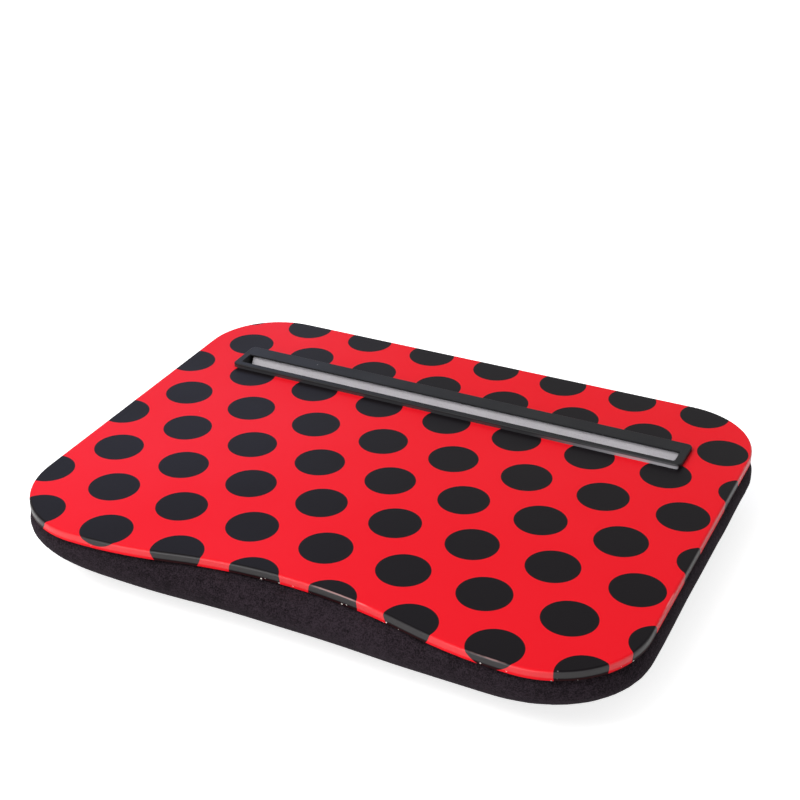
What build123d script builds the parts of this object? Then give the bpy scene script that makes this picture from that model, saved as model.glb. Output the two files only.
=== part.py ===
from build123d import *
import os
from math import atan2, cos, radians, sin, tan

# Lap tray on a bead-filled cushion, with a slanted slot that holds a tablet. Lengths are millimetres, angles degrees.
# X runs to the right, Y to the back, Z up. The origin is under the middle of the tray, on the floor.

# Board outline
board_width = 320.0
board_depth = 248.0
back_corner_radius = 41.5
front_corner_radius = 47.0
waist_depth = 13.9
waist_arc_share = 0.54

# Board and printed film
core_thickness = 4.4
film_thickness = 0.3
core_edge_break = 0.5
top_edge_radius = 1.2

# Cushion
cushion_height = 31.2
widest_height = 23.0
side_bulge = 1.3
seam_tuck = 1.0
underside_inset = 38.0
flat_depth = 0.5
roll_exponent = 1.9
roll_shares = (0.2, 0.4, 0.57, 0.71, 0.82, 0.9, 0.955, 0.987, 1.0)
lining_roll_shares = (0.4, 0.71, 0.9, 1.0)
shoulder_height_share = 0.6
shoulder_bulge_share = 0.6
seam_waist_share = 0.8
widest_waist_share = 0.36
floor_waist_share = 0.15
corner_draw_share = 0.6
cover_thickness = 1.0
panel_thickness = 0.8
seam_gap = 0.2
bag_thickness = 0.5
layer_gap = 0.7

# Hook-and-loop strips
strip_length = 80.0
strip_width = 25.0
strip_thickness = 0.9
strip_gap = 0.3
strip_side_setback = 35.0
front_strip_setback = 36.5
back_strip_setback = 12.5

# Slot frame
lean_angle = 37.0
slot_setback = 62.95
slot_length = 254.2
pocket_width = 12.06
pocket_depth = 15.0
pocket_wall = 1.2
pocket_corner_radius = 1.0
flange_border = 4.2
flange_height = 2.5
flange_corner_radius = 3.0
flange_edge_radius = 0.8
mouth_edge_radius = 0.4
cutout_clearance = 0.2

# Snap lugs under the board
lug_length = 12.0
lug_reach = 0.9
lug_height = 2.6
lug_gap = 0.1
lug_place_shares = (-0.4, -0.14, 0.14, 0.4)
end_lug_length = 5.0

# Rest pad on the pocket's back wall
pad_thickness = 2.0
pad_end_gap = 0.3
pad_top_drop = 0.5

# Well in the cushion for the pocket
well_clearance = 1.5
well_corner_radius = 3.0

# Shared overrun of cutting shapes past the faces that they cut
overrun = 5.0

# Heights worked out from the stack
core_bottom = cushion_height + 2 * strip_thickness + strip_gap
core_top = core_bottom + core_thickness
board_top = core_top + film_thickness
flange_top = board_top + flange_height
back_y = board_depth / 2
front_y = -board_depth / 2

# Slanted pocket, worked out from its lean
lean = radians(lean_angle)
mouth_y = back_y - slot_setback
mouth_width = pocket_width / cos(lean)
pocket_plane = Plane(origin=(0, mouth_y, flange_top), x_dir=(1, 0, 0), z_dir=(0, sin(lean), cos(lean)))
pocket_outer_width = pocket_width + 2 * pocket_wall
pocket_outer_length = slot_length + 2 * pocket_wall
pocket_reach = pocket_depth + pocket_wall
pocket_front_y = mouth_y - pocket_wall * cos(lean) - pocket_reach * sin(lean)
pocket_bottom = flange_top - (pocket_width + pocket_wall) * sin(lean) - pocket_reach * cos(lean)


def wall_y(height, offset):
    """Y of a face that leans with the pocket, at a height, offset along Y from the mouth's front edge."""
    return mouth_y + offset - (flange_top - height) * tan(lean)


def outline(inset, waist):
    """The tray's outline as a face, drawn in from the board's edge, with a front waist of the given depth."""
    half = board_width / 2 - inset
    back = back_y - inset
    front = front_y + inset
    back_radius = back_corner_radius - corner_draw_share * inset
    front_radius = front_corner_radius - corner_draw_share * inset
    lobe_x = half - front_radius
    turn = 2 * atan2(waist, lobe_x)
    waist_radius = waist_arc_share * lobe_x / sin(turn)
    bend = (waist_radius * sin(turn), front + waist - waist_radius * (1 - cos(turn)))
    with BuildSketch() as face:
        with BuildLine():
            Line((0, back), (half - back_radius, back))
            TangentArc((half - back_radius, back), (half, back - back_radius), tangent=(1, 0))
            Line((half, back - back_radius), (half, front + front_radius))
            TangentArc((half, front + front_radius), (lobe_x, front), tangent=(0, -1))
            TangentArc((lobe_x, front), bend, tangent=(-1, 0))
            TangentArc(bend, (0, front + waist), tangent=(-1, 0), tangent_from_first=False)
            mirror(about=Plane.YZ)
        make_face()
    return face.sketch


def cushion_levels(shrink, shares):
    """Height, inset and waist of each section of the cushion, from the floor up, drawn in by shrink all round."""
    seam_waist = seam_waist_share * waist_depth
    widest_waist = widest_waist_share * waist_depth
    floor_waist = floor_waist_share * waist_depth
    roll = underside_inset + side_bulge
    crown = shrink - flat_depth
    levels = []
    for share in reversed(shares):
        draw = roll * (1 - (1 - share**roll_exponent) ** (1 / roll_exponent))
        height = crown + (widest_height - crown) * (1 - share)
        waist = widest_waist + (floor_waist - widest_waist) * share
        levels.append((height, draw - side_bulge + shrink, waist))
    levels.append((widest_height, shrink - side_bulge, widest_waist))
    shoulder_height = widest_height + shoulder_height_share * (cushion_height - widest_height)
    shoulder_waist = (seam_waist + widest_waist) / 2
    levels.append((shoulder_height, shrink - shoulder_bulge_share * side_bulge, shoulder_waist))
    levels.append((cushion_height, shrink + seam_tuck, seam_waist))
    return levels


def cushion_form(shrink, top, shares):
    """The crowned cushion with drawn-in sides, cut flat at the floor and at the given top."""
    with BuildPart() as form:
        for height, inset, waist in cushion_levels(shrink, shares):
            with BuildSketch(Plane.XY.offset(height)):
                add(outline(inset, waist))
        loft(ruled=True)
        split(bisect_by=Plane.XY.offset(shrink), keep=Keep.TOP)
        if top < cushion_height:
            split(bisect_by=Plane.XY.offset(top), keep=Keep.BOTTOM)
    return form.part


def well_block(growth, floor, mode):
    """The upright block of the well's space, grown on all sides, from its floor up past the cushion's top."""
    front = pocket_front_y - well_clearance - growth
    back = wall_y(cushion_height, mouth_width + pocket_wall / cos(lean)) + well_clearance + growth
    length = pocket_outer_length + 2 * (lug_reach + well_clearance + growth)
    with BuildSketch(Plane.XY.offset(floor)) as plan:
        with Locations((0, (front + back) / 2)):
            RectangleRounded(length, back - front, well_corner_radius + growth)
    extrude(plan.sketch, amount=cushion_height + overrun - floor, mode=mode)


def pocket_prism(width, length, low, high, corner_radius, mode):
    """A slanted block in line with the pocket, its section centred on the pocket's."""
    with BuildSketch(pocket_plane.offset(low)) as section:
        with Locations((0, pocket_width / 2)):
            RectangleRounded(length, width, corner_radius)
    extrude(section.sketch, amount=high - low, mode=mode)


def cut_slot():
    """The slanted cut-out in the board and its film."""
    width = pocket_outer_width + 2 * cutout_clearance
    length = pocket_outer_length + 2 * cutout_clearance
    pocket_prism(width, length, -pocket_reach, overrun, pocket_corner_radius + cutout_clearance, Mode.SUBTRACT)


def save(piece, name):
    """Label a finished piece and write its file."""
    piece.part.label = name
    export_step(piece.part, "parts/" + name + ".step")


os.makedirs("parts", exist_ok=True)

# Board: waisted outline with its upper edge broken, and the slanted cut-out
with BuildPart() as board_blank:
    with BuildSketch(Plane.XY.offset(core_bottom - overrun)):
        add(outline(film_thickness, waist_depth))
    extrude(amount=core_thickness + overrun)
    chamfer(board_blank.edges().group_by(Axis.Z)[-1], length=core_edge_break)
with BuildPart() as tray_board:
    add(board_blank.part)
    split(bisect_by=Plane.XY.offset(core_bottom), keep=Keep.TOP)
    cut_slot()

# Printed film: a skin over the board's top and edge, rounded where it folds over
with BuildPart() as print_film:
    with BuildSketch(Plane.XY.offset(core_bottom)):
        add(outline(0, waist_depth))
    extrude(amount=board_top - core_bottom)
    fillet(print_film.edges().group_by(Axis.Z)[-1], radius=top_edge_radius)
    add(board_blank.part, mode=Mode.SUBTRACT)
    cut_slot()

# Slot frame: a raised flange round the mouth of a pocket that leans back, with lugs that catch under the board
with BuildPart() as slot_frame:
    outer_radius = pocket_corner_radius + pocket_wall
    pocket_prism(pocket_outer_width, pocket_outer_length, -pocket_reach, overrun, outer_radius, Mode.ADD)
    split(bisect_by=Plane.XY.offset(board_top + flange_edge_radius), keep=Keep.BOTTOM)
    lug_top = core_bottom - lug_gap
    lug_bottom = lug_top - lug_height
    front_wall = -pocket_wall / cos(lean)
    back_wall = mouth_width + pocket_wall / cos(lean)
    half_wall = pocket_wall / 2
    for offset, side in ((front_wall, -1), (back_wall, 1)):
        with BuildSketch(Plane.YZ.offset(-lug_length / 2)) as lug_profile:
            with BuildLine():
                Polyline(
                    (wall_y(lug_top, offset) - side * half_wall, lug_top),
                    (wall_y(lug_top, offset) + side * lug_reach, lug_top),
                    (wall_y(lug_bottom, offset), lug_bottom),
                    (wall_y(lug_bottom, offset) - side * half_wall, lug_bottom),
                    close=True,
                )
            make_face()
        with Locations([(share * slot_length, 0, 0) for share in lug_place_shares]):
            extrude(lug_profile.sketch, amount=lug_length, mode=Mode.ADD)
    end_x = pocket_outer_length / 2
    end_middle_y = wall_y(lug_top, mouth_width / 2)
    with BuildSketch(Plane.XZ.offset(-end_middle_y - end_lug_length / 2)) as end_profile:
        with BuildLine():
            Polyline(
                (end_x - half_wall, lug_top),
                (end_x + lug_reach, lug_top),
                (end_x, lug_bottom),
                (end_x - half_wall, lug_bottom),
                close=True,
            )
        make_face()
        mirror(about=Plane.YZ)
    extrude(amount=end_lug_length)
    with BuildSketch(Plane.XY.offset(board_top)):
        with Locations((0, mouth_y + mouth_width / 2)):
            flange_length = slot_length + 2 * flange_border
            RectangleRounded(flange_length, mouth_width + 2 * flange_border, flange_corner_radius)
    extrude(amount=flange_height)
    fillet(slot_frame.edges().group_by(Axis.Z)[-1], radius=flange_edge_radius)
    pocket_prism(pocket_width, slot_length, -pocket_depth, overrun, pocket_corner_radius, Mode.SUBTRACT)
    mouth_edges = slot_frame.faces().sort_by(Axis.Z)[-1].inner_wires()[0].edges()
    fillet(mouth_edges, radius=mouth_edge_radius)

# Rest pad: a strip on the back wall, its upper edge level with the mouth
with BuildPart() as rest_pad:
    pad_low = -pocket_depth + pad_end_gap
    with BuildSketch(pocket_plane.offset(pad_low)):
        with Locations((0, pocket_width - pad_thickness / 2)):
            Rectangle(slot_length - 2 * pocket_corner_radius, pad_thickness)
    extrude(amount=overrun - pad_low)
    split(bisect_by=Plane.XY.offset(flange_top - pad_top_drop), keep=Keep.BOTTOM)

# Cushion cover: sides and underside in one shell, open at the top for the panel
with BuildPart() as cushion_cover:
    add(cushion_form(0, cushion_height, roll_shares))
    add(cushion_form(cover_thickness, cushion_height, lining_roll_shares), mode=Mode.SUBTRACT)

# Top panel of the cover, with the well that the pocket dips into
well_floor = pocket_bottom - well_clearance
with BuildPart() as cushion_top_panel:
    with BuildSketch(Plane.XY.offset(cushion_height - panel_thickness)):
        add(outline(seam_tuck + cover_thickness + seam_gap, seam_waist_share * waist_depth))
    extrude(amount=panel_thickness)
    well_block(panel_thickness, well_floor - panel_thickness, Mode.ADD)
    split(bisect_by=Plane.XY.offset(cushion_height), keep=Keep.BOTTOM)
    well_block(0, well_floor, Mode.SUBTRACT)

# Inner bag: a closed skin round the filling, pushed down under the well
bag_shrink = cover_thickness + layer_gap
bag_top = cushion_height - panel_thickness - layer_gap
bag_well_growth = panel_thickness + layer_gap
space_growth = bag_well_growth + bag_thickness
with BuildPart() as bag_space:
    add(cushion_form(bag_shrink + bag_thickness, bag_top - bag_thickness, lining_roll_shares))
    well_block(space_growth, well_floor - space_growth, Mode.SUBTRACT)
with BuildPart() as bead_bag:
    add(cushion_form(bag_shrink, bag_top, lining_roll_shares))
    well_block(bag_well_growth, well_floor - bag_well_growth, Mode.SUBTRACT)
    add(bag_space.part, mode=Mode.SUBTRACT)

# Bead filling as one mass inside the bag
fill_shrink = bag_shrink + bag_thickness + layer_gap
fill_well_growth = space_growth + layer_gap
with BuildPart() as bead_fill:
    add(cushion_form(fill_shrink, bag_top - bag_thickness - layer_gap, lining_roll_shares))
    well_block(fill_well_growth, well_floor - fill_well_growth, Mode.SUBTRACT)

save(tray_board, "tray_board")
save(print_film, "print_film")
save(slot_frame, "slot_frame")
save(rest_pad, "rest_pad")
save(cushion_cover, "cushion_cover")
save(cushion_top_panel, "cushion_top_panel")
save(bead_bag, "bead_bag")
save(bead_fill, "bead_fill")

# Hook strips under the board, each over its loop strip on the cushion
strip_offset_x = board_width / 2 - strip_side_setback - strip_length / 2
front_strip_y = front_y + front_strip_setback + strip_width / 2
back_strip_y = back_y - back_strip_setback - strip_width / 2
for end, strip_y in (("front", front_strip_y), ("back", back_strip_y)):
    for side, strip_x in (("left", -strip_offset_x), ("right", strip_offset_x)):
        for tape, low in (("hook", core_bottom - strip_thickness), ("loop", cushion_height)):
            with BuildPart() as strip:
                with BuildSketch(Plane.XY.offset(low)):
                    with Locations((strip_x, strip_y)):
                        Rectangle(strip_length, strip_width)
                extrude(amount=strip_thickness)
            save(strip, tape + "_strip_" + end + "_" + side)
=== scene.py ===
"""Lap tray with a printed board, a slanted tablet slot and a bead-filled cushion, dressed for a studio picture."""

import math

import bmesh
import bpy
from bpy.props import FloatProperty, FloatVectorProperty, IntProperty, PointerProperty
from bpy.types import Operator, Panel, PropertyGroup
from mathutils import Euler, Matrix, Vector, noise


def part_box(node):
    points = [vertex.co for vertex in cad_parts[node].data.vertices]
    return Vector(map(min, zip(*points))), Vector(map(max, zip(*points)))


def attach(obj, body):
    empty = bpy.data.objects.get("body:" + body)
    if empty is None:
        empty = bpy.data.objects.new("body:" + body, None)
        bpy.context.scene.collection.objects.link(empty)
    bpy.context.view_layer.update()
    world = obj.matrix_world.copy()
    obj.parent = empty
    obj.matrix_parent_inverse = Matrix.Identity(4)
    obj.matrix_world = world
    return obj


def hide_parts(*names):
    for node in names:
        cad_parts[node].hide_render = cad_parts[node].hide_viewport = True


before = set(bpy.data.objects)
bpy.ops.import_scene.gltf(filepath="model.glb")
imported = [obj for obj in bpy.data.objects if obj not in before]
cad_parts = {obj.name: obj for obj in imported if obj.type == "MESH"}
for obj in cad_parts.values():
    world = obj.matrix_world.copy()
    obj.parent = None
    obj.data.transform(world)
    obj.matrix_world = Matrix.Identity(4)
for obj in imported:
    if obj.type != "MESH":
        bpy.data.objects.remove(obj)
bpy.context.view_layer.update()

bl_info = {
    "name": "Lap Tray Dresser",
    "version": (1, 0, 0),
    "blender": (4, 5, 0),
    "location": "View3D > Sidebar > Lap Tray",
    "description": "Print, moulding, tape and sewn cushion of a lap tray",
    "category": "Object",
}

TAPE_PLACES = ("front_left", "front_right", "back_left", "back_right")
FLANGE_DEPTH = 0.0235  # front to back over the slot's flange

# The tray's outline, as the board has it
WAIST_DEPTH = 0.0139
BACK_CORNER = 0.0415
FRONT_CORNER = 0.047
CORNER_DRAW_SHARE = 0.6  # what a corner's radius loses of each inset
WAIST_ARC_SHARE = 0.54
LOBE_ARC_SHARE = 0.46
ARC_STEP = 0.002
FEWEST_ARC_STEPS = 4

# The cushion's rings from the floor to its widest line
RING_POINTS = 220
ROLL_STEPS = 12
WIDEST_WAIST_SHARE = 0.18
FLOOR_WAIST_LOSS_SHARE = 0.06
WIDEST_GAIN_SHARE = 0.45

# Its rings from there over the sewn rim to the flat top, each by its share of the height that is left, its share of
# the rim's rise, how far it is drawn in past the widest line, and its shares of the waist and of the ends' gain
RIM_RINGS = (
    (0.0, 0.0, 0.0, WIDEST_WAIST_SHARE, 1.0),
    (0.6, 0.0, 0.0, 0.5, 0.6),
    (1.0, 0.3, 0.0, 0.85, 0.0),
    (1.0, 1.0, 0.0012, 0.95, 0.0),
    (1.0, 1.0, 0.0035, 1.0, 0.0),
    (1.0, 0.4, 0.0065, 1.0, 0.0),
    (1.0, 0.0, 0.0095, 1.0, 0.0),
)
RINGS_OF_RIM = 4  # the last rings, which the forms inside go without

# The well in the cushion, measured from the slot frame's box
WELL_END_INSET = 0.0006
WELL_BACK_INSET = 0.0082
WELL_CLEARANCE = 0.0015
WELL_BLOCK_HEIGHT = 0.03
WELL_CORNER = 0.003
UPRIGHT_RISE = 0.01  # an edge that rises more than this is upright

# What the simulation holds still
HELD_WELL_GAP = 0.004
HELD_WELL_FLOOR = 0.012
HELD_TOP = 0.0008
HELD_UNDERSIDE = 0.0004

# Puckers, creases and dents: how often they come in a metre, and how far they reach
PUCKER_RATE = 95
PUCKER_REACH = 0.016
PUCKER_STRETCH = 0.18
DENT_RATE = 26
DENT_START = (3.1, 7.7, 1.3)
CREASE_RATES = (40, 40, 25)
CREASE_SLANT = 60
CREASE_SHARE = 0.35
FLOOR_FADE = 0.004

# Seams
SEAM_POINTS = 320
SEAM_INSET = 0.0030
SEAM_LIFT = 0.0002
WELT_RADIUS = 0.0008
STITCH_INSET = 0.0022
STITCH_PITCH = 0.0031
STITCH_LENGTH = 0.0024
STITCH_RADIUS = 0.00022
MERGE_DISTANCE = 0.00001

# The beads lie this much further in than their bag
BEAD_GAP = 0.0009

# Stage
SENSOR_WIDTH = 36.0
CLIP_START, CLIP_END = 0.01, 50.0
FLOOR_SIZE = 6.0
LAMPS = (
    # name, place, size, its power among the settings, colour
    ("key", (-0.55, -0.60, 1.20), (1.1, 0.9), "key_power", (1.0, 0.985, 0.97)),
    ("back_strip", (0.55, 0.85, 0.55), (0.9, 0.25), "strip_power", (1.0, 1.0, 1.0)),
    ("front_softbox", (-0.10, -1.15, 0.36), (1.0, 0.4), "front_power", (1.0, 0.99, 0.99)),
    ("blue_fill", (-0.80, 0.85, 0.60), (0.55, 0.45), "fill_power", (0.32, 0.45, 1.0)),
)

# Colours
WHITE = (1, 1, 1, 1)
TONES = {
    "film_deep": (0.83, 0.008, 0.017, 1.0),
    "film_low_edge_shade": (0.25, 0.0, 0.0, 1.0),
    "film_nick": (0.80, 0.74, 0.70, 1.0),
    "film_pale_rub_and_highlight": (0.95, 0.55, 0.54, 1.0),
    "film_painted_sheen": (0.95, 0.90, 0.92, 1.0),
    "film_dust": (0.6, 0.5, 0.5, 1.0),
    "plastic_dark": (0.0035, 0.0035, 0.0045, 1.0),
    "plastic_light": (0.007, 0.007, 0.0085, 1.0),
    "plastic_painted_highlight": (0.80, 0.80, 0.86, 1.0),
    "plastic_dust": (0.35, 0.34, 0.34, 1.0),
    "foam_dark": (0.56, 0.54, 0.58, 1.0),
    "foam_light": (0.70, 0.68, 0.72, 1.0),
    "foam_pore_shade": (0.26, 0.25, 0.27, 1.0),
    "board_dark": (0.34, 0.215, 0.12, 1.0),
    "board_light": (0.43, 0.29, 0.17, 1.0),
    "board_fibre": (0.52, 0.37, 0.23, 1.0),
    "board_fleck": (0.16, 0.09, 0.05, 1.0),
    "hook_dark": (0.010, 0.010, 0.011, 1.0),
    "hook_tip_highlight": (0.055, 0.055, 0.06, 1.0),
    "hook_dust": (0.4, 0.38, 0.37, 1.0),
    "loop_dark": (0.008, 0.008, 0.009, 1.0),
    "loop_light": (0.05, 0.048, 0.052, 1.0),
    "loop_sheen": (0.8, 0.78, 0.85, 1.0),
    "loop_dust": (0.42, 0.4, 0.4, 1.0),
    "cloth_sheen": (0.72, 0.62, 0.72, 1.0),
    "cloth_lint": (0.35, 0.32, 0.34, 1.0),
    "thread_shaded": (0.012, 0.011, 0.012, 1.0),
    "thread_lit": (0.05, 0.045, 0.05, 1.0),
    "bag_dark": (0.62, 0.61, 0.58, 1.0),
    "bag_light": (0.78, 0.77, 0.74, 1.0),
    "bead_shaded": (0.5, 0.5, 0.49, 1.0),
    "bead_lit": (0.84, 0.84, 0.82, 1.0),
}
CLOTH_TINT = (0.0168, 0.0120, 0.0158)
CLOTH_DARKEST, CLOTH_LIGHTEST = 0.35, 1.9  # shares of the tint
CLOTH_FIBRE_SCALE = 1450.0


# Settings


def length(name, description, default):
    """A setting that is a length in metres."""
    return FloatProperty(name=name, description=description, default=default, unit="LENGTH")


def colour_setting(name, description, default):
    """A setting that is a colour with its alpha."""
    return FloatVectorProperty(
        name=name, description=description, size=4, default=default, subtype="COLOR", min=0, max=1,
    )


class TrayPrint(PropertyGroup):
    """Dots of the printed film."""

    dot_radius: length("Dot Radius", "Radius of a printed dot", 0.0129)
    pitch: length("Pitch", "Distance between dots in a row", 0.0403)
    row_pitch: length("Row Pitch", "Distance between rows", 0.03315)
    row_start: length("Row Start", "Place of the first row", -0.1123)
    even_start: length("Even Start", "First dot of even rows", 0.0303)
    odd_start: length("Odd Start", "First dot of odd rows", 0.01086)
    turn: FloatProperty(
        name="Turn", description="Turn of the print on the board", default=math.radians(0.746), subtype="ANGLE",
    )
    shift: FloatVectorProperty(
        name="Shift", description="Place of the print on the board", size=3, default=(0.00622, -0.06412, 0.0),
        subtype="TRANSLATION",
    )
    fold: length("Fold", "Radius of the fold over the board's edge", 0.0012)
    blur: length("Blur", "Half the width of a dot's soft edge", 0.00012)
    red: colour_setting("Red", "Ink between the dots", (0.88, 0.009, 0.020, 1.0))
    black: colour_setting("Black", "Ink of the dots", (0.0050, 0.0036, 0.0048, 1.0))


class TrayCushion(PropertyGroup):
    """Sizes of the sewn cushion."""

    height: length("Height", "Top of the cushion", 0.0312)
    widest: length("Widest", "Height of the widest line", 0.0250)
    draw_in: length("Draw In", "Widest line inside the board's edge", 0.0008)
    rim: length("Rim", "Rise of the sewn rim under the board", 0.0014)
    underside_inset: length("Inset", "Edge of the flat underside", 0.040)
    side_gain: length("Side", "Extra fullness of the two ends", 0.0055)
    corner_growth: length("Corners", "Rounder corners at the floor", 0.042)
    roll_exponent: FloatProperty(name="Roll", description="Fullness of the rolled side", default=1.8)
    lining: length("Lining", "Inner bag inside the cover", 0.0022)
    voxel: length("Voxel", "Cell of the remesh before the simulation", 0.003)
    pressure: FloatProperty(name="Pressure", description="Air pressure of the simulation", default=4.0)
    frames: IntProperty(name="Frames", description="Steps of the simulation", default=20)
    cap: length("Cap", "Most that a point may move", 0.0010)
    pucker: length("Pucker", "Depth of the puckers under the seam", 0.0004)
    dent: length("Dent", "Depth of the broad soft dents", 0.0007)


class TrayStage(PropertyGroup):
    """Camera, lamps and floor."""

    camera_place: FloatVectorProperty(
        name="Camera Place", description="Where the camera stands", size=3, default=(0.29611, -0.60329, 0.44541),
        subtype="TRANSLATION",
    )
    camera_turn: FloatVectorProperty(
        name="Camera Turn", description="Turn of the camera", size=3, subtype="EULER",
        default=(math.radians(61.553), math.radians(0.915), math.radians(27.125)),
    )
    lens: FloatProperty(name="Lens", description="Focal length in millimetres", default=69.41)
    shift_x: FloatProperty(name="Shift X", description="Sideways framing", default=0.05)
    shift_y: FloatProperty(name="Shift Y", description="Upward framing", default=-0.0125)
    ambient: FloatProperty(name="Ambient", description="Light from all round", default=0.42)
    key_power: FloatProperty(name="Key", description="Power of the large softbox in watts", default=14.4)
    strip_power: FloatProperty(name="Strip", description="Power of the strip light in watts", default=0.35)
    front_power: FloatProperty(name="Front", description="Power of the low front softbox in watts", default=3.4)
    fill_power: FloatProperty(name="Fill", description="Power of the cool fill behind in watts", default=1.0)
    floor_glow: FloatProperty(
        name="Floor Glow", description="Paleness of the floor as the camera sees it", default=0.70,
    )
    floor: colour_setting("Floor", "Colour of the floor", (0.86, 0.86, 0.86, 1.0))


# Shader building


def new_tree(name):
    """A new material and its empty node tree."""
    material = bpy.data.materials.new(name)
    material.use_nodes = True
    tree = material.node_tree
    tree.nodes.clear()
    return material, tree


def node(tree, kind, inputs=None, **settings):
    """Add a node, set its settings, and set or link its inputs."""
    made = tree.nodes.new(kind)
    for key, value in settings.items():
        setattr(made, key, value)
    for key, value in (inputs or {}).items():
        if isinstance(value, bpy.types.NodeSocket):
            tree.links.new(value, made.inputs[key])
        else:
            made.inputs[key].default_value = value
    return made


def math_node(tree, operation, first, second=0.0, third=0.0, clamp=False):
    """One sum on up to three values."""
    made = node(tree, "ShaderNodeMath", {0: first, 1: second, 2: third}, operation=operation, use_clamp=clamp)
    return made.outputs[0]


def times(tree, first, second):
    """The product of two values."""
    return math_node(tree, "MULTIPLY", first, second)


def vector_node(tree, operation, inputs):
    """One sum on vectors."""
    return node(tree, "ShaderNodeVectorMath", inputs, operation=operation).outputs[0]


def ramp_node(tree, value, low, high, out_low=0.0, out_high=1.0):
    """A smooth step of a value between two limits."""
    made = node(
        tree, "ShaderNodeMapRange",
        {"Value": value, "From Min": low, "From Max": high, "To Min": out_low, "To Max": out_high},
        interpolation_type="SMOOTHSTEP",
    )
    return made.outputs[0]


def band_node(tree, value, rise, fall):
    """1 between two smooth steps of a value, and 0 outside them."""
    return times(tree, ramp_node(tree, value, *rise), ramp_node(tree, value, *fall, 1.0, 0.0))


def mix_colour(tree, factor, first, second):
    """Blend from the first colour to the second."""
    made = node(tree, "ShaderNodeMix", data_type="RGBA", blend_type="MIX")
    for socket, value in ((made.inputs[0], factor), (made.inputs[6], first), (made.inputs[7], second)):
        if isinstance(value, bpy.types.NodeSocket):
            tree.links.new(value, socket)
        else:
            socket.default_value = value
    return made.outputs[2]


def noise_node(tree, vector, scale, detail=3.0, roughness=0.5):
    """Soft noise from 0 to 1."""
    made = node(
        tree, "ShaderNodeTexNoise",
        {"Vector": vector, "Scale": scale, "Detail": detail, "Roughness": roughness},
    )
    return made.outputs[0]


def cell_node(tree, place, scale, randomness):
    """Distance to the nearest of many scattered points."""
    inputs = {"Vector": place, "Scale": scale, "Randomness": randomness}
    return node(tree, "ShaderNodeTexVoronoi", inputs).outputs["Distance"]


def bump_node(tree, height, distance, strength):
    """A surface normal that follows a height."""
    return node(tree, "ShaderNodeBump", {"Height": height, "Distance": distance, "Strength": strength}).outputs[0]


def finish_tree(tree, inputs):
    """Close a material with its shader."""
    shader = node(tree, "ShaderNodeBsdfPrincipled", inputs)
    output = node(tree, "ShaderNodeOutputMaterial")
    tree.links.new(shader.outputs[0], output.inputs[0])


def group_with(name, inputs, outputs):
    """A node group with named sockets, and its input and output nodes."""
    group = bpy.data.node_groups.new(name, "ShaderNodeTree")
    for socket_name, kind, default in inputs:
        socket = group.interface.new_socket(name=socket_name, in_out="INPUT", socket_type=kind)
        if default is not None:
            socket.default_value = default
    for socket_name, kind in outputs:
        group.interface.new_socket(name=socket_name, in_out="OUTPUT", socket_type=kind)
    return group, node(group, "NodeGroupInput"), node(group, "NodeGroupOutput")


def make_nap_group():
    """Short matted nap: mottle for the colour and a height for the bump."""
    group, source, sink = group_with(
        "Matted Nap",
        [("Vector", "NodeSocketVector", None), ("Fibre Scale", "NodeSocketFloat", 2600.0),
         ("Mottle Scale", "NodeSocketFloat", 160.0)],
        [("Mottle", "NodeSocketFloat"), ("Height", "NodeSocketFloat")],
    )
    fibre = noise_node(group, source.outputs["Vector"], source.outputs["Fibre Scale"], 4.0, 0.7)
    tuft = noise_node(group, source.outputs["Vector"], source.outputs["Mottle Scale"], 5.0, 0.62)
    patch = noise_node(group, source.outputs["Vector"], 22.0, 2.0)
    mottle = math_node(group, "MULTIPLY_ADD", fibre, 0.68, times(group, tuft, 0.2))
    mottle = math_node(group, "MULTIPLY_ADD", patch, 0.12, mottle)
    height = math_node(group, "MULTIPLY_ADD", fibre, 0.35, tuft)
    group.links.new(mottle, sink.inputs["Mottle"])
    group.links.new(height, sink.inputs["Height"])
    return group


def make_lint_group():
    """Sparse pale specks of lint or dust."""
    group, source, sink = group_with(
        "Lint",
        [("Vector", "NodeSocketVector", None), ("Scale", "NodeSocketFloat", 90.0),
         ("Size", "NodeSocketFloat", 0.05), ("Rarity", "NodeSocketFloat", 0.9)],
        [("Mask", "NodeSocketFloat")],
    )
    cells = node(
        group, "ShaderNodeTexVoronoi",
        {"Vector": source.outputs["Vector"], "Scale": source.outputs["Scale"], "Randomness": 1.0},
    )
    near = math_node(group, "LESS_THAN", cells.outputs["Distance"], source.outputs["Size"])
    split = node(group, "ShaderNodeSeparateColor", {0: cells.outputs["Color"]})
    rare = math_node(group, "GREATER_THAN", split.outputs[0], source.outputs["Rarity"])
    group.links.new(times(group, near, rare), sink.inputs["Mask"])
    return group


def make_grain_group():
    """Very fine moulded or printed grain: a slow cloud and a fine height."""
    group, source, sink = group_with(
        "Fine Grain",
        [("Vector", "NodeSocketVector", None), ("Scale", "NodeSocketFloat", 1800.0),
         ("Cloud Scale", "NodeSocketFloat", 14.0)],
        [("Cloud", "NodeSocketFloat"), ("Height", "NodeSocketFloat")],
    )
    grain = noise_node(group, source.outputs["Vector"], source.outputs["Scale"], 2.0, 0.6)
    cloud = noise_node(group, source.outputs["Vector"], source.outputs["Cloud Scale"], 3.0, 0.55)
    group.links.new(cloud, sink.inputs["Cloud"])
    group.links.new(grain, sink.inputs["Height"])
    return group


GROUPS = {"Matted Nap": make_nap_group, "Lint": make_lint_group, "Fine Grain": make_grain_group}


def place_group(tree, name, inputs):
    """Add a shared node group, made the first time that it is asked for."""
    group = bpy.data.node_groups.get(name) or GROUPS[name]()
    return node(tree, "ShaderNodeGroup", inputs, node_tree=group)


def with_specks(tree, colour, place, specks, strength, tone):
    """Lay sparse specks of lint or dust over a colour."""
    scale, size, rarity = specks
    mask = place_group(tree, "Lint", {"Vector": place, "Scale": scale, "Size": size, "Rarity": rarity})
    return mix_colour(tree, times(tree, mask.outputs["Mask"], strength), colour, TONES[tone])


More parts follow.
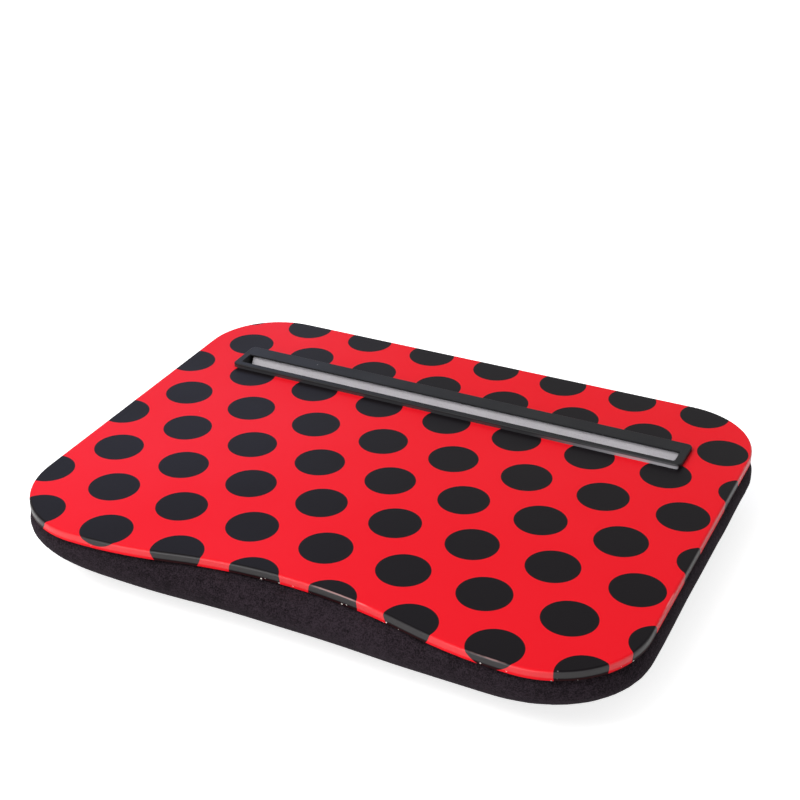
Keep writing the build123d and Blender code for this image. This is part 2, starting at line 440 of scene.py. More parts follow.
def new_surface(name):
    """A new material, its empty node tree, and the shaded point in the piece's own space."""
    material, tree = new_tree(name)
    return material, tree, node(tree, "ShaderNodeTexCoord").outputs["Object"]


# Materials


def dot_mask(tree, across, along, first_x, first_y, dots):
    """One of the two dot lattices: 1 inside a dot and 0 outside."""
    half_x = dots.pitch / 2
    half_y = dots.row_pitch
    x = math_node(tree, "WRAP", math_node(tree, "SUBTRACT", across, first_x), half_x, -half_x)
    y = math_node(tree, "WRAP", math_node(tree, "SUBTRACT", along, first_y), half_y, -half_y)
    distance = math_node(tree, "SQRT", math_node(tree, "MULTIPLY_ADD", x, x, times(tree, y, y)))
    return ramp_node(tree, distance, dots.dot_radius - dots.blur, dots.dot_radius + dots.blur, 1.0, 0.0)


def flat_sheet(tree, source, depth, fold):
    """Where a point of the folded film lay on the flat sheet, which went on by the length that is bent down."""
    cosine = math_node(tree, "MAXIMUM", math_node(tree, "MULTIPLY_ADD", depth, -1 / fold, 1.0), 0.0)
    slant = math_node(tree, "ARCCOSINE", cosine)
    bent = times(tree, math_node(tree, "SUBTRACT", slant, math_node(tree, "SINE", slant)), fold)
    below = math_node(tree, "MAXIMUM", math_node(tree, "SUBTRACT", depth, fold), 0.0)
    outward = vector_node(tree, "MULTIPLY", {0: source.outputs["Normal"], 1: (1, 1, 0)})
    outward = vector_node(tree, "NORMALIZE", {0: outward})
    spread = vector_node(tree, "SCALE", {0: outward, "Scale": math_node(tree, "ADD", bent, below)})
    return vector_node(tree, "ADD", {0: source.outputs["Object"], 1: spread})


def printed_film_material(dots):
    """Red film with two offset lattices of dots, folded down over the board's edge."""
    material, tree = new_tree("printed_film")
    source = node(tree, "ShaderNodeTexCoord")
    place = source.outputs["Object"]
    low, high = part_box("print_film")
    height = node(tree, "ShaderNodeSeparateXYZ", {0: place}).outputs[2]
    depth = math_node(tree, "SUBTRACT", high[2], height)
    sheet = node(
        tree, "ShaderNodeMapping",
        {"Vector": flat_sheet(tree, source, depth, dots.fold), "Location": tuple(dots.shift),
         "Rotation": (0, 0, dots.turn)},
        vector_type="POINT",
    ).outputs[0]
    axes = node(tree, "ShaderNodeSeparateXYZ", {0: sheet})
    even = dot_mask(tree, axes.outputs[0], axes.outputs[1], dots.even_start, dots.row_start, dots)
    odd = dot_mask(tree, axes.outputs[0], axes.outputs[1], dots.odd_start, dots.row_start + dots.row_pitch, dots)
    fine = place_group(tree, "Fine Grain", {"Vector": place, "Scale": 2400.0, "Cloud Scale": 9.0})
    red = mix_colour(tree, fine.outputs["Cloud"], tuple(dots.red), TONES["film_deep"])
    colour = mix_colour(tree, math_node(tree, "MAXIMUM", even, odd), red, tuple(dots.black))
    # The film's lowest edge is darkened a little as painted shade, and has nicks where the pale board shows
    low_edge = ramp_node(tree, height, low[2] + 0.0005, low[2] + 0.0013, 1.0, 0.0)
    colour = mix_colour(tree, times(tree, low_edge, 0.06), colour, TONES["film_low_edge_shade"])
    chips = place_group(tree, "Lint", {"Vector": place, "Scale": 420.0, "Size": 0.2, "Rarity": 0.55})
    colour = mix_colour(tree, times(tree, low_edge, chips.outputs["Mask"]), colour, TONES["film_nick"])
    # Paler streaks on the fold's crease: painted highlight where the edge turns over, and rubbing wear where hands
    # hold the tray
    crease = band_node(tree, depth, rise=(0.00005, 0.0002), fall=(0.0004, 0.0007))
    wear_and_highlight = ramp_node(tree, noise_node(tree, place, 24.0, 4.0, 0.6), 0.54, 0.68)
    colour = mix_colour(tree, times(tree, times(tree, crease, wear_and_highlight), 0.35), colour, TONES["film_pale_rub_and_highlight"])
    # Painted highlight: the film stretched glossy over the edge gets its band mixed a little toward pale, and a
    # clear coat there
    band = band_node(tree, depth, rise=(0.00015, 0.0007), fall=(0.0030, 0.0038))
    colour = mix_colour(tree, times(tree, band, 0.02), colour, TONES["film_painted_sheen"])
    colour = with_specks(tree, colour, place, (75.0, 0.035, 0.93), 0.25, "film_dust")
    finish_tree(
        tree,
        {"Base Color": colour, "Roughness": ramp_node(tree, fine.outputs["Cloud"], 0.3, 0.7, 0.36, 0.44),
         "Normal": bump_node(tree, fine.outputs["Height"], 0.00003, 0.25), "Specular IOR Level": 0.055,
         "Coat Weight": times(tree, band, 0.75), "Coat IOR": 1.55, "Coat Roughness": 0.25},
    )
    return material


def slot_plastic_material():
    """Satin black moulding with a fine spark-eroded grain."""
    material, tree, place = new_surface("slot_frame_plastic")
    fine = place_group(tree, "Fine Grain", {"Vector": place, "Scale": 3200.0, "Cloud Scale": 30.0})
    colour = mix_colour(tree, fine.outputs["Cloud"], TONES["plastic_dark"], TONES["plastic_light"])
    colour = with_specks(tree, colour, place, (210.0, 0.09, 0.88), 0.35, "plastic_dust")
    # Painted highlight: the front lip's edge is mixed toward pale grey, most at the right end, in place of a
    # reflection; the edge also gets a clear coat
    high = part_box("slot_frame")[1]
    front = high[1] - FLANGE_DEPTH
    axes = node(tree, "ShaderNodeSeparateXYZ", {0: place})
    lip = ramp_node(tree, axes.outputs[1], front + 0.0003, front + 0.0010, 1.0, 0.0)
    side = ramp_node(tree, axes.outputs[2], high[2] - 0.0013, high[2] - 0.0005, 1.0, 0.1)
    edge = times(tree, lip, side)
    right_end = ramp_node(tree, axes.outputs[0], 0.045, high[0] - 0.006)
    painted_lip_highlight = times(tree, edge, math_node(tree, "MULTIPLY_ADD", right_end, 0.50, 0.04))
    finish_tree(
        tree,
        {"Base Color": mix_colour(tree, painted_lip_highlight, colour, TONES["plastic_painted_highlight"]),
         "Roughness": ramp_node(tree, fine.outputs["Cloud"], 0.3, 0.7, 0.40, 0.50),
         "Normal": bump_node(tree, fine.outputs["Height"], 0.00004, 0.35), "Specular IOR Level": 0.12,
         "Coat Weight": times(tree, edge, 0.7), "Coat IOR": 1.6, "Coat Roughness": 0.2},
    )
    return material


def foam_material():
    """Pale closed-cell foam with fine pores."""
    material, tree, place = new_surface("pad_foam")
    pores = cell_node(tree, place, 1400.0, 1.0)
    fine = place_group(tree, "Fine Grain", {"Vector": place, "Scale": 900.0, "Cloud Scale": 60.0})
    tone = mix_colour(tree, fine.outputs["Cloud"], TONES["foam_dark"], TONES["foam_light"])
    # Painted shade: the pores are darker than the foam, following the same cells as their bump
    colour = mix_colour(tree, ramp_node(tree, pores, 0.0, 0.35, 0.5, 0.0), tone, TONES["foam_pore_shade"])
    normal = bump_node(tree, pores, 0.0002, 0.6)
    finish_tree(tree, {"Base Color": colour, "Roughness": 0.9, "Normal": normal, "Specular IOR Level": 0.2})
    return material


def fibreboard_material():
    """Pressed wood fibre: brown, flecked, slightly hairy."""
    material, tree, place = new_surface("board_core")
    stretched = node(tree, "ShaderNodeMapping", {"Vector": place, "Scale": (0.35, 1.0, 1.0)}).outputs[0]
    fibres = noise_node(tree, stretched, 900.0, 5.0, 0.7)
    fine = place_group(tree, "Fine Grain", {"Vector": place, "Scale": 1500.0, "Cloud Scale": 18.0})
    tone = mix_colour(tree, fine.outputs["Cloud"], TONES["board_dark"], TONES["board_light"])
    colour = mix_colour(tree, ramp_node(tree, fibres, 0.35, 0.65), tone, TONES["board_fibre"])
    fleck = ramp_node(tree, noise_node(tree, stretched, 420.0, 2.0), 0.66, 0.74)
    colour = mix_colour(tree, times(tree, fleck, 0.6), colour, TONES["board_fleck"])
    normal = bump_node(tree, fibres, 0.00008, 0.5)
    finish_tree(tree, {"Base Color": colour, "Roughness": 0.82, "Normal": normal, "Specular IOR Level": 0.3})
    return material


def hook_tape_material():
    """Woven tape with rows of tiny stiff hooks."""
    material, tree, place = new_surface("hook_tape")
    # Painted highlight: each hook is paler at its tip, following the same cells as its bump
    tip = ramp_node(tree, cell_node(tree, place, 900.0, 0.25), 0.12, 0.42, 1.0, 0.0)
    colour = mix_colour(tree, tip, TONES["hook_dark"], TONES["hook_tip_highlight"])
    colour = with_specks(tree, colour, place, (240.0, 0.12, 0.9), 0.6, "hook_dust")
    normal = bump_node(tree, tip, 0.0004, 0.9)
    finish_tree(tree, {"Base Color": colour, "Roughness": 0.5, "Normal": normal, "Specular IOR Level": 0.4})
    return material


def loop_tape_material():
    """Brushed tape whose loops stand in a soft tangle."""
    material, tree, place = new_surface("loop_tape")
    pile = place_group(tree, "Matted Nap", {"Vector": place, "Fibre Scale": 3000.0, "Mottle Scale": 700.0})
    colour = mix_colour(tree, pile.outputs["Mottle"], TONES["loop_dark"], TONES["loop_light"])
    colour = with_specks(tree, colour, place, (260.0, 0.12, 0.88), 0.6, "loop_dust")
    normal = bump_node(tree, pile.outputs["Height"], 0.0005, 0.9)
    finish_tree(
        tree,
        {"Base Color": colour, "Roughness": 0.95, "Normal": normal, "Specular IOR Level": 0.2, "Sheen Weight": 0.25,
         "Sheen Roughness": 0.5, "Sheen Tint": TONES["loop_sheen"]},
    )
    return material


def cover_cloth_material():
    """Black napped cloth with a faint plum tint, mottle and lint."""
    material, tree, place = new_surface("cover_cloth")
    pile = place_group(
        tree, "Matted Nap",
        {"Vector": place, "Fibre Scale": CLOTH_FIBRE_SCALE, "Mottle Scale": CLOTH_FIBRE_SCALE / 5},
    )
    dark, light = (
        tuple(channel * share for channel in CLOTH_TINT) + (1.0,) for share in (CLOTH_DARKEST, CLOTH_LIGHTEST)
    )
    colour = mix_colour(tree, ramp_node(tree, pile.outputs["Mottle"], 0.40, 0.60), dark, light)
    colour = with_specks(tree, colour, place, (170.0, 0.075, 0.95), 0.55, "cloth_lint")
    normal = bump_node(tree, pile.outputs["Height"], 0.00045, 0.75)
    finish_tree(
        tree,
        {"Base Color": colour, "Roughness": 0.96, "Normal": normal, "Specular IOR Level": 0.05,
         "Sheen Weight": 0.035, "Sheen Roughness": 0.55, "Sheen Tint": TONES["cloth_sheen"]},
    )
    return material


def thread_material():
    """Twisted black sewing thread."""
    material, tree, place = new_surface("thread")
    # Painted light: the twist's crests are paler and its grooves darker, following the same waves as its bump
    twist = node(
        tree, "ShaderNodeTexWave", {"Vector": place, "Scale": 900.0, "Distortion": 1.0}, bands_direction="DIAGONAL",
    ).outputs["Fac"]
    colour = mix_colour(tree, twist, TONES["thread_shaded"], TONES["thread_lit"])
    normal = bump_node(tree, twist, 0.0001, 0.5)
    finish_tree(tree, {"Base Color": colour, "Roughness": 0.6, "Normal": normal, "Specular IOR Level": 0.35})
    return material


def bag_cloth_material():
    """Thin white inner cloth."""
    material, tree, place = new_surface("bag_cloth")
    weave = place_group(tree, "Matted Nap", {"Vector": place, "Fibre Scale": 2200.0, "Mottle Scale": 300.0})
    colour = mix_colour(tree, weave.outputs["Mottle"], TONES["bag_dark"], TONES["bag_light"])
    normal = bump_node(tree, weave.outputs["Height"], 0.0002, 0.5)
    finish_tree(tree, {"Base Color": colour, "Roughness": 0.9, "Normal": normal, "Specular IOR Level": 0.25})
    return material


def bead_material():
    """Loose white foam beads, packed."""
    material, tree, place = new_surface("beads")
    # Painted light: each bead is pale at its crown and shaded towards its edge, following the same cells as its bump
    crown = ramp_node(tree, cell_node(tree, place, 330.0, 0.8), 0.0, 0.6, 1.0, 0.0)
    colour = mix_colour(tree, crown, TONES["bead_shaded"], TONES["bead_lit"])
    normal = bump_node(tree, crown, 0.0012, 1.0)
    finish_tree(tree, {"Base Color": colour, "Roughness": 0.75, "Normal": normal, "Specular IOR Level": 0.3})
    return material


def dress(name, material):
    """Give a node of the frame its finish."""
    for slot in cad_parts[name].material_slots:
        slot.material = material


# Cushion geometry


def outline_points(inset, waist, count, growth=0.0, gain=0.0):
    """Even points round the tray's outline, drawn in by inset, corners rounder by growth and ends out by gain."""
    low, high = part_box("print_film")
    half = (high[0] - low[0]) / 2 - inset + gain
    back = (high[1] - low[1]) / 2 - inset
    front = -back
    back_radius = BACK_CORNER - CORNER_DRAW_SHARE * inset + growth
    front_radius = FRONT_CORNER - CORNER_DRAW_SHARE * inset + growth
    lobe_x = half - front_radius
    turn = 2 * math.atan2(waist, lobe_x)
    waist_radius = WAIST_ARC_SHARE * lobe_x / math.sin(turn)
    lobe_radius = LOBE_ARC_SHARE * lobe_x / math.sin(turn)
    right = []

    def arc(centre, radius, start, end):
        steps = max(FEWEST_ARC_STEPS, int(abs(end - start) * radius / ARC_STEP))
        for step in range(steps):
            angle = start + (end - start) * step / steps
            right.append((centre[0] + radius * math.cos(angle), centre[1] + radius * math.sin(angle)))

    quarter = math.pi / 2
    right.append((0.0, back))
    arc((half - back_radius, back - back_radius), back_radius, quarter, 0)
    arc((half - front_radius, front + front_radius), front_radius, 0, -quarter)
    arc((lobe_x, front + lobe_radius), lobe_radius, -quarter, -quarter - turn)
    arc((0.0, front + waist - waist_radius), waist_radius, quarter - turn, quarter)
    right.append((0.0, front + waist))
    left = [(-x, y) for x, y in reversed(right[1:-1])]
    loop = right + left
    lengths = [0.0]
    for first, second in zip(loop, loop[1:] + loop[:1]):
        lengths.append(lengths[-1] + math.dist(first, second))
    points = []
    place = 0
    for index in range(count):
        goal = lengths[-1] * index / count
        while lengths[place + 1] < goal:
            place += 1
        share = (goal - lengths[place]) / (lengths[place + 1] - lengths[place])
        first, second = loop[place], loop[(place + 1) % len(loop)]
        points.append((first[0] + (second[0] - first[0]) * share, first[1] + (second[1] - first[1]) * share))
    return points


def ring_edges(bm, points, height):
    """A closed ring of edges at a height."""
    corners = [bm.verts.new((x, y, height)) for x, y in points]
    return [bm.edges.new((first, second)) for first, second in zip(corners, corners[1:] + corners[:1])]


def cushion_rings(cushion, lining):
    """Height, inset, waist, corner growth and end gain of each ring, from the floor over the rim to the flat top."""
    rings = []
    roll = cushion.underside_inset - cushion.draw_in
    for step in range(ROLL_STEPS, 0, -1):
        share = math.sin(math.pi / 2 * step / ROLL_STEPS)
        draw = roll * (1 - (1 - share ** cushion.roll_exponent) ** (1 / cushion.roll_exponent))
        waist = WAIST_DEPTH * (WIDEST_WAIST_SHARE - FLOOR_WAIST_LOSS_SHARE * share)
        growth = cushion.corner_growth * share ** 2
        gain = cushion.side_gain * (WIDEST_GAIN_SHARE + (1 - WIDEST_GAIN_SHARE) * (draw / roll) ** 0.5)
        rings.append((cushion.widest * (1 - share), draw + cushion.draw_in, waist, growth, gain))
    top = cushion.height
    gain = WIDEST_GAIN_SHARE * cushion.side_gain
    for rise_share, rim_share, further_in, waist_share, gain_share in RIM_RINGS:
        height = cushion.widest + rise_share * (top - cushion.widest) + rim_share * cushion.rim
        rings.append((height, cushion.draw_in + further_in, WAIST_DEPTH * waist_share, 0.0, gain_share * gain))
    if lining:
        rings = [(lining + height * (top - 2 * lining) / top, inset + lining, waist, growth, gain)
                 for height, inset, waist, growth, gain in rings[:-RINGS_OF_RIM]]
    return rings


def well_walls():
    """The well that the slot's pocket dips into: its corners in plan and its floor."""
    low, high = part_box("slot_frame")
    return (low[0] + WELL_END_INSET, low[1] - WELL_CLEARANCE, high[0] - WELL_END_INSET, high[1] - WELL_BACK_INSET,
            low[2] - WELL_CLEARANCE)


def cushion_blank(cushion, lining=0.0):
    """The closed cushion with its crowned sides, before the well is cut, or a form that lies inside it."""
    bm = bmesh.new()
    below = None
    for height, inset, waist, growth, gain in cushion_rings(cushion, lining):
        ring = ring_edges(bm, outline_points(inset, waist, RING_POINTS, growth, gain), height)
        if below is None:
            bmesh.ops.contextual_create(bm, geom=ring)
        else:
            bmesh.ops.bridge_loops(bm, edges=below + ring)
        below = ring
    bmesh.ops.contextual_create(bm, geom=below)
    bmesh.ops.recalc_face_normals(bm, faces=bm.faces)
    return bm


def well_cutter(lining=0.0):
    """The block that cuts the well, larger by the lining for the forms inside."""
    x0, y0, x1, y1, floor = well_walls()
    x0, y0, x1, y1, floor = x0 - lining, y0 - lining, x1 + lining, y1 + lining, floor - lining
    bm = bmesh.new()
    bmesh.ops.create_cube(bm, size=1.0)
    bmesh.ops.scale(bm, vec=(x1 - x0, y1 - y0, WELL_BLOCK_HEIGHT), verts=bm.verts)
    middle = ((x0 + x1) / 2, (y0 + y1) / 2, floor + WELL_BLOCK_HEIGHT / 2)
    bmesh.ops.translate(bm, vec=middle, verts=bm.verts)
    upright = [edge for edge in bm.edges if abs(edge.verts[0].co.z - edge.verts[1].co.z) > UPRIGHT_RISE]
    bmesh.ops.bevel(bm, geom=upright, offset=WELL_CORNER, segments=3, profile=0.5, affect="EDGES", material=-1)
    return bm


def mesh_object(name, bm, material, smooth=True):
    """Turn a bmesh into an object at the origin."""
    mesh = bpy.data.meshes.new(name)
    bm.to_mesh(mesh)
    bm.free()
    piece = bpy.data.objects.new(name, mesh)
    bpy.context.scene.collection.objects.link(piece)
    if material is not None:
        mesh.materials.append(material)
    for face in mesh.polygons:
        face.use_smooth = smooth
    return piece


def apply_modifiers(piece):
    """Bake an object's live modifiers into its mesh."""
    graph = bpy.context.evaluated_depsgraph_get()
    baked = bpy.data.meshes.new_from_object(piece.evaluated_get(graph), depsgraph=graph)
    old = piece.data
    piece.modifiers.clear()
    piece.data = baked
    bpy.data.meshes.remove(old)


def held_share(point, cushion, well):
    """How firmly a point of the cushion is held: 1 on its flat top, its well and its underside, 0 on its sides."""
    x0, y0, x1, y1, _floor = well
    across = x0 - HELD_WELL_GAP < point.x < x1 + HELD_WELL_GAP
    along = y0 - HELD_WELL_GAP < point.y < y1 + HELD_WELL_GAP
    in_well = across and along and point.z > HELD_WELL_FLOOR
    if in_well or point.z > cushion.height - HELD_TOP or point.z < HELD_UNDERSIDE:
        return 1.0
    return 0.0


def swell(piece, cushion):
    """Blow the cushion up against its own cloth, with its top, its well and its underside held."""
    still = [point.co.copy() for point in piece.data.vertices]
    well = well_walls()
    group = piece.vertex_groups.new(name="held")
    for point in piece.data.vertices:
        group.add([point.index], held_share(point.co, cushion, well), "REPLACE")
    cloth = piece.modifiers.new("cloth", "CLOTH")
    cloth.settings.use_pressure = True
    cloth.settings.uniform_pressure_force = cushion.pressure
    cloth.settings.vertex_group_mass = "held"
    cloth.settings.pin_stiffness = 1.0
    cloth.settings.effector_weights.gravity = 0
    cloth.point_cache.frame_start = 1
    cloth.point_cache.frame_end = cushion.frames
    scene = bpy.context.scene
    for step in range(1, cushion.frames + 1):
        scene.frame_set(step)
    apply_modifiers(piece)
    piece.vertex_groups.clear()
    scene.frame_set(1)
    for point, start in zip(piece.data.vertices, still):
        move = point.co - start
        if move.length > cushion.cap:
            point.co = start + move * (cushion.cap / move.length)


def soften(piece, cushion):
    """Puckers that run down from the top seam, and broad soft dents, on the cushion's sides."""
    bm = bmesh.new()
    bm.from_mesh(piece.data)
    bm.normal_update()
    well = well_walls()
    moves = []
    for point in bm.verts:
        x, y, z = point.co
        side = 1 - abs(point.normal.z)
        free = 1 - held_share(point.co, cushion, well)
        rise = max(0.0, min(1.0, z / FLOOR_FADE))
        near_seam = max(0.0, 1 - (cushion.height - z) / PUCKER_REACH)
        pucker = noise.noise(Vector((x, y, z * PUCKER_STRETCH)) * PUCKER_RATE) * near_seam
        dent = noise.noise(point.co * DENT_RATE + Vector(DENT_START))
        rate_x, rate_y, rate_z = CREASE_RATES
        crease = noise.noise(Vector((x * rate_x + z * CREASE_SLANT, y * rate_y, z * rate_z)))
        folds = (cushion.pucker * pucker + CREASE_SHARE * cushion.pucker * crease) * side
        moves.append(point.normal * (folds + cushion.dent * dent * (0.4 + 0.6 * side)) * free * rise)
    for point, move in zip(bm.verts, moves):
        point.co += move
        point.co.z = max(point.co.z, 0.0)
    bm.to_mesh(piece.data)
    bm.free()


def stitch_row(bm, start, end):
    """A straight row of raised stitches."""
    run = end - start
    count = max(2, round(run.length / STITCH_PITCH))
    turn = run.to_track_quat("X", "Z").to_matrix().to_4x4()
    shape = Matrix.Diagonal((STITCH_LENGTH / 2, STITCH_RADIUS, STITCH_RADIUS, 1.0))
    for index in range(count):
        place = Matrix.Translation(start + run * ((index + 0.5) / count)) @ turn
        bmesh.ops.create_uvsphere(bm, u_segments=6, v_segments=4, radius=1.0, matrix=place @ shape)


def tape_stitches():
    """Sewn edges of the four loop tapes."""
    bm = bmesh.new()
    for place in TAPE_PLACES:
        low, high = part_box("loop_strip_" + place)
        x0, y0, x1, y1 = low[0] + STITCH_INSET, low[1] + STITCH_INSET, high[0] - STITCH_INSET, high[1] - STITCH_INSET
        corners = [Vector((x, y, high[2])) for x, y in ((x0, y0), (x1, y0), (x1, y1), (x0, y1))]
        for first, second in zip(corners, corners[1:] + corners[:1]):
            stitch_row(bm, first, second)
    return bm


def seam_welt(cushion):
    """The rolled seam that joins the cushion's top to its sides."""
    line = bpy.data.curves.new("top_seam", "CURVE")
    line.dimensions = "3D"
    line.bevel_depth = WELT_RADIUS
    line.bevel_resolution = 2
    points = outline_points(cushion.draw_in + SEAM_INSET, WAIST_DEPTH, SEAM_POINTS)
    spline = line.splines.new("POLY")
    spline.points.add(len(points) - 1)
    height = cushion.height + cushion.rim - WELT_RADIUS + SEAM_LIFT
    for point, (x, y) in zip(spline.points, points):
        point.co = (x, y, height, 1.0)
    spline.use_cyclic_u = True
    holder = bpy.data.objects.new("top_seam", line)
    bpy.context.scene.collection.objects.link(holder)
    graph = bpy.context.evaluated_depsgraph_get()
    mesh = bpy.data.meshes.new_from_object(holder.evaluated_get(graph), depsgraph=graph)
    bpy.data.objects.remove(holder)
    bpy.data.curves.remove(line)
    bm = bmesh.new()
    bm.from_mesh(mesh)
    bpy.data.meshes.remove(mesh)
    bmesh.ops.remove_doubles(bm, verts=bm.verts, dist=MERGE_DISTANCE)
    bmesh.ops.recalc_face_normals(bm, faces=bm.faces)
    return bm


def hollowed_form(name, cushion, lining, material):
    """A closed form of the cushion, or of what lies inside it, with its well cut and its mesh evened out."""
    piece = mesh_object(name, cushion_blank(cushion, lining), material)
    cutter = mesh_object("well_cutter", well_cutter(lining), None)
    cut = piece.modifiers.new("well", "BOOLEAN")
    cut.operation = "DIFFERENCE"
    cut.object = cutter
    cut.solver = "EXACT"
    remesh = piece.modifiers.new("remesh", "REMESH")
    remesh.mode = "VOXEL"
    remesh.voxel_size = cushion.voxel
    remesh.use_smooth_shade = True
    apply_modifiers(piece)
    bpy.data.objects.remove(cutter)
    return piece


def finish_faces(piece, material):
    """Shade a finished form smooth, in one material."""
    for face in piece.data.polygons:
        face.use_smooth = True
    piece.data.materials.clear()
    piece.data.materials.append(material)


# Stage


def add_camera(scene, stage):
    """The camera, with plain colours in the picture."""
    view = bpy.data.cameras.new("camera")
    view.sensor_width = SENSOR_WIDTH
    view.lens = stage.lens
    view.shift_x = stage.shift_x
    view.shift_y = stage.shift_y
    view.clip_start = CLIP_START
    view.clip_end = CLIP_END
    camera = bpy.data.objects.new("camera", view)
    camera.location = stage.camera_place
    camera.rotation_euler = Euler(stage.camera_turn, "XYZ")
    scene.collection.objects.link(camera)
    scene.camera = camera
    scene.view_settings.view_transform = "Standard"


def add_floor(stage):
    """A pale floor that keeps a soft shadow."""
    bm = bmesh.new()
    bmesh.ops.create_grid(bm, x_segments=1, y_segments=1, size=FLOOR_SIZE)
    material, tree = new_tree("floor")
    path = node(tree, "ShaderNodeLightPath")
    diffuse = node(tree, "ShaderNodeBsdfDiffuse", {"Color": tuple(stage.floor)})
    pale = times(tree, path.outputs["Is Camera Ray"], stage.floor_glow)
    glow = node(tree, "ShaderNodeEmission", {"Color": WHITE, "Strength": pale})
    both = node(tree, "ShaderNodeAddShader", {0: diffuse.outputs[0], 1: glow.outputs[0]})
    node(tree, "ShaderNodeOutputMaterial", {0: both.outputs[0]})
    mesh_object("floor", bm, material, smooth=False)


def add_surroundings(scene, stage):
    """White as the camera and reflections see it, and dimmer as a light."""
    world = bpy.data.worlds.new("studio")
    scene.world = world
    world.use_nodes = True
    tree = world.node_tree
    tree.nodes.clear()
    path = node(tree, "ShaderNodeLightPath")
    seen = math_node(tree, "ADD", path.outputs["Is Camera Ray"], path.outputs["Is Glossy Ray"], clamp=True)
    seen = math_node(tree, "ADD", seen, path.outputs["Is Transmission Ray"], clamp=True)
    strength = node(tree, "ShaderNodeMapRange", {"Value": seen, "To Min": stage.ambient, "To Max": 1.0}).outputs[0]
    background = node(tree, "ShaderNodeBackground", {"Color": WHITE, "Strength": strength})
    node(tree, "ShaderNodeOutputWorld", {0: background.outputs[0]})


def add_lamp(scene, stage, name, place, size, power, colour):
    """A flat lamp that faces the tray."""
    lamp = bpy.data.lights.new(name, "AREA")
    lamp.shape = "RECTANGLE"
    lamp.size, lamp.size_y = size
    lamp.energy = getattr(stage, power)
    lamp.color = colour
    holder = bpy.data.objects.new(name, lamp)
    holder.location = place
    holder.rotation_euler = (-Vector(place)).to_track_quat("-Z", "Y").to_euler()
    scene.collection.objects.link(holder)


# Operators


class LAPTRAY_OT_print_film(Operator):
    """Print the dots on the film that wraps the board"""

    bl_idname = "laptray.print_film"
    bl_label = "Printed Film"

    def execute(self, context):
        dress("print_film", printed_film_material(context.scene.tray_print))
        return {"FINISHED"}


class LAPTRAY_OT_board(Operator):
    """Finish the pressed fibre board"""

    bl_idname = "laptray.board"
    bl_label = "Board"

    def execute(self, context):
        dress("tray_board", fibreboard_material())
        return {"FINISHED"}


class LAPTRAY_OT_slot(Operator):
    """Finish the slot's moulding and its foam rest pad"""

    bl_idname = "laptray.slot"
    bl_label = "Slot Frame and Pad"

    def execute(self, context):
        dress("slot_frame", slot_plastic_material())
        dress("rest_pad", foam_material())
        return {"FINISHED"}


class LAPTRAY_OT_tapes(Operator):
    """Finish the hook and loop tapes"""

    bl_idname = "laptray.tapes"
    bl_label = "Hook and Loop Tapes"

    def execute(self, context):
        hooks = hook_tape_material()
        loops = loop_tape_material()
        for place in TAPE_PLACES:
            dress("hook_strip_" + place, hooks)
            dress("loop_strip_" + place, loops)
        return {"FINISHED"}


class LAPTRAY_OT_filling(Operator):
    """Sew the inner bag and fill it with beads"""

    bl_idname = "laptray.filling"
    bl_label = "Bead Bag"

    def execute(self, context):
        cushion = context.scene.tray_cushion
        for name, replaced, slot, lining, material in (
            ("inner_bag", "bead_bag", "bag_cloth", cushion.lining, bag_cloth_material()),
            ("bead_mass", "bead_fill", "beads", cushion.lining + BEAD_GAP, bead_material()),
        ):
            piece = hollowed_form(name, cushion, lining, material)
            finish_faces(piece, material)
            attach(piece, "cushion")
            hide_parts(replaced)
        return {"FINISHED"}


class LAPTRAY_OT_cushion(Operator):
    """Sew and fill the cushion"""

    bl_idname = "laptray.cushion"
    bl_label = "Cushion"

    def execute(self, context):
        cushion = context.scene.tray_cushion
        cloth = cover_cloth_material()
        piece = hollowed_form("cushion_cloth", cushion, 0.0, cloth)
        swell(piece, cushion)
        soften(piece, cushion)
        finish_faces(piece, cloth)
        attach(piece, "cushion")
        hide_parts("cushion_cover", "cushion_top_panel")
        return {"FINISHED"}


class LAPTRAY_OT_seams(Operator):
    """Sew the cushion's top seam and the edges of the loop tapes"""

    bl_idname = "laptray.seams"
    bl_label = "Seams and Stitches"

    def execute(self, context):
        cloth = bpy.data.materials["cover_cloth"]
        welt = mesh_object("top_seam", seam_welt(context.scene.tray_cushion), cloth)
        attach(welt, "cushion")
        stitches = mesh_object("tape_stitches", tape_stitches(), thread_material())
        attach(stitches, "cushion")
        return {"FINISHED"}


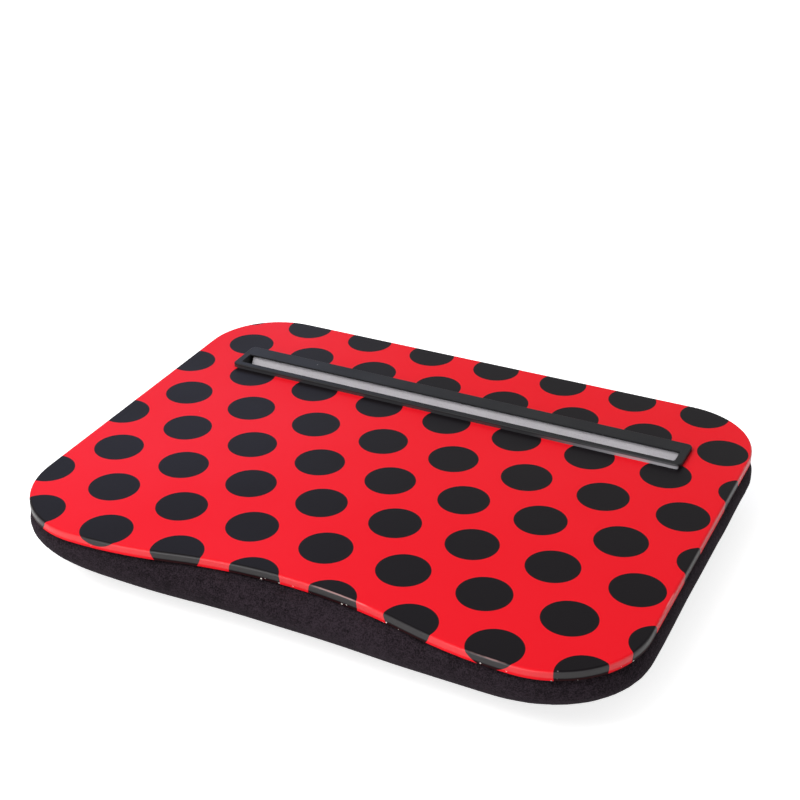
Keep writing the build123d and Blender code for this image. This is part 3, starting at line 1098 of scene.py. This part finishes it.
class LAPTRAY_OT_stage(Operator):
    """Set the camera, the lamps, the floor and the white surroundings"""

    bl_idname = "laptray.stage"
    bl_label = "Stage"

    def execute(self, context):
        stage = context.scene.tray_stage
        add_camera(context.scene, stage)
        add_floor(stage)
        add_surroundings(context.scene, stage)
        for lamp in LAMPS:
            add_lamp(context.scene, stage, *lamp)
        return {"FINISHED"}


class LAPTRAY_PT_pieces(Panel):
    """Lists the pieces of the lap tray"""

    bl_idname = "LAPTRAY_PT_pieces"
    bl_label = "Lap Tray"
    bl_space_type = "VIEW_3D"
    bl_region_type = "UI"
    bl_category = "Lap Tray"

    def draw(self, context):
        layout = self.layout
        for operator in OPERATORS:
            layout.operator(operator.bl_idname)
        for settings in (context.scene.tray_print, context.scene.tray_cushion, context.scene.tray_stage):
            box = layout.box()
            for name in settings.bl_rna.properties.keys():
                if name not in ("rna_type", "name"):
                    box.prop(settings, name)


SETTINGS = (("tray_print", TrayPrint), ("tray_cushion", TrayCushion), ("tray_stage", TrayStage))
OPERATORS = (
    LAPTRAY_OT_stage, LAPTRAY_OT_print_film, LAPTRAY_OT_board, LAPTRAY_OT_slot, LAPTRAY_OT_tapes,
    LAPTRAY_OT_filling, LAPTRAY_OT_cushion, LAPTRAY_OT_seams,
)


def register():
    for name, settings in SETTINGS:
        bpy.utils.register_class(settings)
        setattr(bpy.types.Scene, name, PointerProperty(type=settings))
    for operator in OPERATORS:
        bpy.utils.register_class(operator)
    bpy.utils.register_class(LAPTRAY_PT_pieces)


def unregister():
    bpy.utils.unregister_class(LAPTRAY_PT_pieces)
    for operator in reversed(OPERATORS):
        bpy.utils.unregister_class(operator)
    for name, settings in reversed(SETTINGS):
        delattr(bpy.types.Scene, name)
        bpy.utils.unregister_class(settings)


def main():
    register()
    bpy.ops.laptray.stage()
    bpy.ops.laptray.print_film()
    bpy.ops.laptray.board()
    bpy.ops.laptray.slot()
    bpy.ops.laptray.tapes()
    bpy.ops.laptray.filling()
    bpy.ops.laptray.cushion()
    bpy.ops.laptray.seams()


if __name__ == "__main__":
    main()
